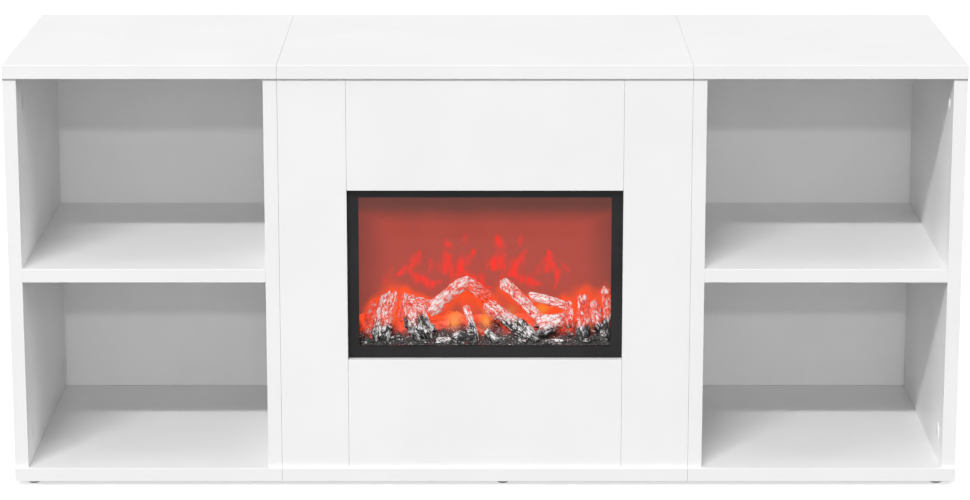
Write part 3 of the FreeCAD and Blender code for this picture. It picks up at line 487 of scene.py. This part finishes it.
def addCoals(grown, grain, tone):
    look = bedShape
    picker = random.Random(look["seed"])
    for number in range(look["coals"]):
        share = picker.uniform(*look["coalDepth"])
        size = picker.uniform(*look["coalSize"])
        across = picker.uniform(*look["coalAcross"])
        deep, high = look["front"] + bedDepth * share, bedHeight(share) + look["coalLift"] * size
        middle = Vector((across, deep, high))
        ash, heat = picker.uniform(*look["coalAsh"]), picker.uniform(*look["coalHeat"]) + share
        shift = Vector((number * look["knockStep"], 0.0, 0.0))
        ball = bmesh.ops.create_icosphere(grown, subdivisions=2, radius=size)["verts"]
        for vert in ball:
            knock = 1.0 + look["knock"] * noise.noise(vert.co * look["knockPitch"] + shift)
            vert[grain] = vert.co + Vector((0.0, 0.0, look["grainStep"] * number))
            shaped = Vector((vert.co.x * look["coalLong"], vert.co.y, vert.co.z * look["coalLow"]))
            vert.co = middle + shaped * knock
            vert.co.y = max(look["front"] + look["clear"], vert.co.y)
            vert[tone] = Vector((ash, heat, vert.co.z))


def makeBed():
    look = bedShape
    grown = bmesh.new()
    bmesh.ops.create_grid(grown, x_segments=look["columns"], y_segments=look["rows"], size=0.5)
    grain = grown.verts.layers.float_vector.new("grain")
    tone = grown.verts.layers.float_vector.new("tone")
    rollX, rollY = look["rollPitch"]
    for vert in grown.verts:
        x = vert.co.x * 2 * look["half"]
        share = vert.co.y + 0.5
        y = look["front"] + bedDepth * share
        near, further = noise.voronoi(Vector((x, y * look["lumpStretch"], 0.0)) * look["lumpPitch"])[0][:2]
        edge = min(1.0, look["edgeRise"] * share + look["edgeStart"])
        ripple = noise.noise(Vector((x, y, look["rippleLayer"])) * look["ripplePitch"])
        lift = look["lump"] * edge * (further - near) + look["ripple"] * ripple * edge
        lift += look["roll"] * share * noise.noise(Vector((x * rollX, y * rollY, look["rollLayer"])))
        vert.co = Vector((x, y, bedHeight(share) + lift - look["sink"] * edge))
        vert[grain] = vert.co.copy()
        vert[tone] = Vector((look["ash"], look["heat"] + look["heatRise"] * share, vert.co.z))
    addSkirt(grown, "z", look["floor"])
    addCoals(grown, grain, tone)
    spot = grown.verts.layers.float.new("spot")
    for vert, share in zip(grown.verts, spotShares([(vert.co.x, vert.co.z) for vert in grown.verts])):
        vert[spot] = share
    return inMetres(grown)


# Painted resin of the bed: soot, specks of ash and a glow that grows to the rear
emberLook = {
    "char": (0.030, 0.029, 0.029), "charPale": (0.075, 0.072, 0.070), "ash": (0.70, 0.66, 0.65),
    "dull": (0.50, 0.016, 0.008), "hot": (1.0, 0.08, 0.022), "hotter": (1.0, 0.26, 0.030),
    "glow": 1.1, "cover": 0.8, "shine": (0.75, 0.95), "relief": (0.5, 0.0012),
    "speck": (0.45, 4.0, 0.65), "speckShare": 0.8, "dullSpan": (0.6, 1.25),
    "ashShare": 0.25, "ashSpan": (0.66, 0.72), "ashByHeat": (0.2, 0.8, 1.0, 0.15),
    "cloud": (42.0, 3.0, 0.6), "cloudShare": 2.6, "coolest": -1.25,
    "rise": (164.0, 188.0, -0.75, 0.40), "heatShare": 0.6, "hotSpan": (-0.25, 1.15),
}


def emberMaterial():
    look = emberLook
    made, tree, shader = newMaterial("ember_resin")
    ash, heat, height = parted(tree, attributeOf(tree, "tone"))
    spots = attributeOf(tree, "spot", "Fac")
    speck = noisy(tree, attributeOf(tree, "grain"), *look["speck"])
    cloud = noisy(tree, coordinates(tree)["Object"], *look["cloud"])
    rise = ranged(tree, height, *look["rise"], "LINEAR")
    mottle = timesPlus(tree, cloud, look["cloudShare"], look["coolest"])
    warmth = sums(tree, "ADD", timesPlus(tree, heat, look["heatShare"], rise), mottle)
    hot = ranged(tree, warmth, *look["hotSpan"])
    ashy = ranged(tree, timesPlus(tree, ash, look["ashShare"], speck), *look["ashSpan"])
    flake = times(tree, ashy, ranged(tree, hot, *look["ashByHeat"]))
    soot = mixed(tree, speck, look["char"], look["charPale"])
    brighter = ranged(tree, timesPlus(tree, speck, look["speckShare"], hot), *look["dullSpan"])
    glow = mixed(tree, brighter, look["dull"], look["hot"])
    bare = sums(tree, "SUBTRACT", 1.0, times(tree, flake, look["cover"]))
    lit = times(tree, sums(tree, "MAXIMUM", hot, spots), bare)
    wire(tree, shader, {
        "Base Color": mixed(tree, flake, soot, look["ash"]),
        "Roughness": ranged(tree, speck, *noiseSpan, *look["shine"]),
        "Emission Color": mixed(tree, spots, glow, look["hotter"]),
        "Emission Strength": times(tree, lit, look["glow"]),
        "Normal": bumpy(tree, speck, *look["relief"]),
    })
    return made


emberBed = addPiece("emberBed", makeBed(), emberMaterial())
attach(emberBed, "cabinet")
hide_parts("ember_bed")
print("ember bed:", len(emberBed.data.polygons), "faces")

# Flame screen: lit field with painted shade towards the top and sides, a halo behind the pile and soft flame
# wisps
wisps = [  # strength, then x, z and half width of each point in mm
    (0.95, (-48, 238, 1.8), (-47, 247, 5.6), (-45, 257, 4.4), (-46, 266, 1.2)),
    (0.85, (-45, 269, 1.2), (-44, 274, 3.8), (-46, 280, 1.0)),
    (0.95, (-33, 235, 1.6), (-28, 246, 6.6), (-20, 253, 4.6), (-15, 265, 1.6)),
    (0.80, (-40, 246, 1.2), (-39, 235, 2.6), (-36, 222, 1.4)),
    (1.00, (-29, 240, 1.4), (-21, 231, 4.6), (-8, 225, 6.4), (7, 223, 1.4)),
    (0.35, (-22, 271, 1.2), (-21, 277, 3.2), (-23, 284, 1.0)),
    (0.95, (12, 240, 1.6), (14, 249, 5.4), (17, 258, 4.0), (15, 266, 1.2)),
    (0.90, (15, 268, 1.4), (16, 274, 4.0), (14, 281, 1.0)),
    (0.95, (29, 236, 1.6), (34, 246, 6.2), (42, 252, 4.2), (48, 264, 1.4)),
    (0.85, (21, 246, 1.2), (22, 234, 2.8), (24, 220, 1.4)),
    (0.85, (33, 241, 1.2), (41, 232, 4.2), (54, 227, 5.0), (70, 226, 1.2)),
    (0.40, (41, 270, 1.2), (43, 276, 3.0), (42, 283, 1.0)),
    (0.95, (70, 238, 1.6), (74, 248, 5.6), (76, 257, 3.6), (75, 267, 1.2)),
    (0.85, (82, 249, 1.4), (84, 238, 3.6), (83, 221, 1.4)),
    (0.45, (91, 250, 1.2), (95, 244, 3.4), (99, 238, 1.2)),
    (0.80, (-103, 232, 1.2), (-93, 242, 3.4), (-84, 251, 4.2), (-76, 262, 1.2)),
    (0.85, (-88, 241, 1.4), (-80, 231, 4.6), (-67, 226, 4.6), (-53, 227, 1.2)),
    (0.45, (-66, 240, 1.4), (-63, 246, 3.8), (-64, 252, 1.2)),
    (0.40, (1, 240, 1.2), (4, 247, 3.4), (3, 254, 1.0)),
    (0.35, (62, 236, 1.2), (64, 242, 3.2), (63, 249, 1.0)),
    (0.30, (-120, 224, 1.4), (-112, 232, 3.6), (-108, 241, 1.2)),
]
screenLook = {
    # field is the lit colour, edge the painted shade towards the top and the sides
    "field": (0.425, 0.068, 0.050), "edge": (0.15, 0.052, 0.042),
    "flame": (1.0, 0.030, 0.018), "halo": (1.0, 0.085, 0.016),
    "fixed": {"Base Color": (0.03, 0.012, 0.011, 1.0), "Specular IOR Level": 0.1, "Emission Strength": 1.06},
    "sideSpan": (0.108, 0.150), "sideShare": 0.6, "topSpan": (0.292, 0.322), "shine": (0.55, 0.75),
    "cloud": (20.0, 3.0), "cloudShare": 0.3, "cloudMiddle": -0.15, "haloSpan": (0.05, 0.95),
    "streak": (190.0, 3.0, 0.6), "streakStretch": (1.0, 1.0, 0.35), "streakSpan": (0.32, 0.62, 0.3, 1.0),
    "mesh": 1.2, "drift": 5.0, "driftPitch": 0.07, "driftApart": (0.0, 31.7), "blur": 3.0, "sharp": 2.0,
    "haloReach": 13.0, "haloDrop": 15.0, "haloLeast": 0.3, "haloByHeat": 0.6,
}


def drifted(place):
    spot = place * screenLook["driftPitch"]
    shifts = (Vector((0.0, apart, 0.0)) for apart in screenLook["driftApart"])
    sway, rise = (screenLook["drift"] * noise.noise(spot + shift) for shift in shifts)
    return place.x + sway, place.z + rise


def flameShares(points):
    flame = numpy.zeros(len(points))
    for strength, *bends in wisps:
        tongue = numpy.zeros(len(points))
        for start, end in zip(bends, bends[1:]):
            widths = [screenLook["blur"] * bend[2] for bend in (start, end)]
            tongue = numpy.maximum(tongue, strokeShares(points, start[:2], end[:2], *widths))
        flame = joined(flame, strength * tongue ** screenLook["sharp"])
    return flame


def haloShares(points):
    look = screenLook
    halo = numpy.zeros(len(points))
    for footX, footY, footZ, headX, headY, headZ, footRadius, headRadius, ash, heat in logRows:
        drop = look["haloDrop"] * (footY - bedShape["front"]) / bedDepth
        widths = [radius + look["haloReach"] for radius in (footRadius, headRadius)]
        glow = strokeShares(points, (footX, footZ - drop), (headX, headZ - drop), *widths)
        halo = joined(halo, (look["haloLeast"] + look["haloByHeat"] * heat) * glow)
    return halo


def makeScreen(node):
    corners = [node.matrix_world @ Vector(corner) / toMetres for corner in node.bound_box]
    low, high = (Vector([pick(values) for values in zip(*corners)]) for pick in (min, max))
    size = high - low
    grown = bmesh.new()
    columns, rows = (round(length / screenLook["mesh"]) for length in (size.x, size.z))
    bmesh.ops.create_grid(grown, x_segments=columns, y_segments=rows, size=0.5)
    for vert in grown.verts:
        vert.co = Vector((low.x + (vert.co.x + 0.5) * size.x, low.y, low.z + (vert.co.y + 0.5) * size.z))
    points = numpy.array([drifted(vert.co) for vert in grown.verts])
    fire = grown.verts.layers.float_vector.new("fire")
    shares = zip(flameShares(points), haloShares(points), spotShares(points))
    for vert, value in zip(grown.verts, shares):
        vert[fire] = Vector(value)
    addSkirt(grown, "y", high.y)
    bmesh.ops.edgeloop_fill(grown, edges=[edge for edge in grown.edges if edge.is_boundary])
    return inMetres(grown)


def screenMaterial():
    look = screenLook
    made, tree, shader = newMaterial("flame_screen", look["fixed"])
    place = coordinates(tree)["Object"]
    flame, halo, spots = parted(tree, attributeOf(tree, "fire"))
    parts = parted(tree, place)
    # Painted shade: the field darkens to the edge colour towards the sides and the top of the screen
    sides = ranged(tree, sums(tree, "ABSOLUTE", parts["X"]), *look["sideSpan"])
    top = ranged(tree, parts["Z"], *look["topSpan"])
    shade = sums(tree, "MAXIMUM", times(tree, sides, look["sideShare"]), top)
    cloud = noisy(tree, place, *look["cloud"])
    dimmed = sums(tree, "ADD", shade, timesPlus(tree, cloud, look["cloudShare"], look["cloudMiddle"]))
    field = mixed(tree, dimmed, look["field"], look["edge"])
    # Painted glow on the screen behind the pile: the halo colour, hotter at the hot spots
    spotGlow = mixed(tree, spots, look["halo"], emberLook["hotter"])
    warmed = mixed(tree, ranged(tree, halo, *look["haloSpan"]), field, spotGlow)
    streak = noisy(tree, vectors(tree, "MULTIPLY", place, look["streakStretch"]), *look["streak"])
    lick = times(tree, flame, ranged(tree, streak, *look["streakSpan"]))
    wire(tree, shader, {
        "Emission Color": mixed(tree, lick, warmed, look["flame"]),
        "Roughness": ranged(tree, cloud, *noiseSpan, *look["shine"]),
    })
    return made


flameScreen = addPiece("flameScreen", makeScreen(cadNodes["flame_screen"]), screenMaterial(), smooth=False)
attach(flameScreen, "cabinet")
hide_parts("flame_screen")
print("flame screen:", len(wisps), "flames on", len(flameScreen.data.polygons), "faces")

# Floor, not part of the object
floorLook = {
    "half": 30.0, "low": (0.88, 0.88, 0.88), "high": (0.92, 0.92, 0.92), "cloud": (0.8, 3.0),
    "fixed": {"Emission Strength": 0.68, "Roughness": 0.8, "Specular IOR Level": 0.0},
}


def makeFloor():
    made, tree, shader = newMaterial("floor", floorLook["fixed"])
    cloud = noisy(tree, coordinates(tree)["Object"], *floorLook["cloud"])
    shade = mixed(tree, ranged(tree, cloud, *noiseSpan), floorLook["low"], floorLook["high"])
    wire(tree, shader, {"Base Color": shade, "Emission Color": shade})
    shape = bmesh.new()
    bmesh.ops.create_grid(shape, x_segments=1, y_segments=1, size=floorLook["half"])
    floor = addPiece("floor", shape, made, smooth=False)
    floor.visible_diffuse = False


makeFloor()
print("floor laid")

# Studio light: a long strip high on the front left, low soft lights, a front light, white surroundings
lightLook = {
    "aim": 0.25,  # height of what the lights point at, in metres
    "strip": {"run": (-11.0, -1.6), "away": 24.0, "elevation": 42.9, "breadth": 0.8, "power": 3850.0},
    "softLeft": {"away": 20.0, "elevation": 14.0, "azimuth": -73.0, "size": 6.0, "power": 760.0},
    "softRight": {"away": 20.0, "elevation": 14.0, "azimuth": 73.0, "size": 6.0, "power": 660.0},
    "softFront": {"away": 20.0, "elevation": 7.0, "azimuth": 0.0, "size": 5.0, "power": 200.0},
    "front": {"away": 4.0, "elevation": 20.0, "strength": 0.28, "angle": 1.6},
    "above": 0.61, "below": 0.0, "horizon": (-0.15, 0.15),
}


def addLight(name, kind, look, aside=0.0):
    data = bpy.data.lights.new(name, kind)
    made = bpy.data.objects.new(name, data)
    rise, turn = math.radians(look["elevation"]), math.radians(look.get("azimuth", 0.0))
    level, high = look["away"] * math.cos(rise), look["away"] * math.sin(rise)
    made.location = (level * math.sin(turn) + aside, -level * math.cos(turn), high + lightLook["aim"])
    made.rotation_euler = (math.radians(90.0 - look["elevation"]), 0.0, turn)
    scene.collection.objects.link(made)
    return data


def addLights():
    look = lightLook["strip"]
    low, high = look["run"]
    strip = addLight("stripLight", "AREA", look, aside=(low + high) / 2)
    strip.shape = "RECTANGLE"
    strip.size, strip.size_y = high - low, look["breadth"]
    strip.energy = look["power"]
    for name in ("softLeft", "softRight", "softFront"):
        look = lightLook[name]
        soft = addLight(name, "AREA", look)
        soft.size = look["size"]
        soft.energy = look["power"]
    look = lightLook["front"]
    front = addLight("frontLight", "SUN", look)
    front.energy = look["strength"]
    front.angle = math.radians(look["angle"])


def makeWorld():
    world = bpy.data.worlds.new("studio")
    world.use_nodes = True
    tree = world.node_tree
    tree.nodes.clear()
    height = parted(tree, coordinates(tree)["Generated"])["Z"]
    shade = ranged(tree, height, *lightLook["horizon"], lightLook["below"], lightLook["above"])
    seen = addNode(tree, "ShaderNodeLightPath").outputs["Is Camera Ray"]
    level = sums(tree, "MAXIMUM", shade, seen)  # plain white where the camera sees it
    ground = addNode(tree, "ShaderNodeBackground", {"Color": (1.0, 1.0, 1.0, 1.0), "Strength": level})
    addNode(tree, "ShaderNodeOutputWorld", {"Surface": ground.outputs[0]})
    scene.world = world


addLights()
makeWorld()
print("lights set")

# Camera at the photograph's viewing angle
cameraLook = {"place": (0.0, -3.839, 1.153), "pitch": 13.354, "lens": 121.3, "sensor": 36.0}
cameraData = bpy.data.cameras.new("camera")
cameraData.lens = cameraLook["lens"]
cameraData.sensor_width = cameraLook["sensor"]
camera = bpy.data.objects.new("camera", cameraData)
camera.location = cameraLook["place"]
camera.rotation_euler = (math.radians(90.0 - cameraLook["pitch"]), 0.0, 0.0)
scene.collection.objects.link(camera)
scene.camera = camera
scene.view_settings.view_transform = "Standard"
print("camera set")
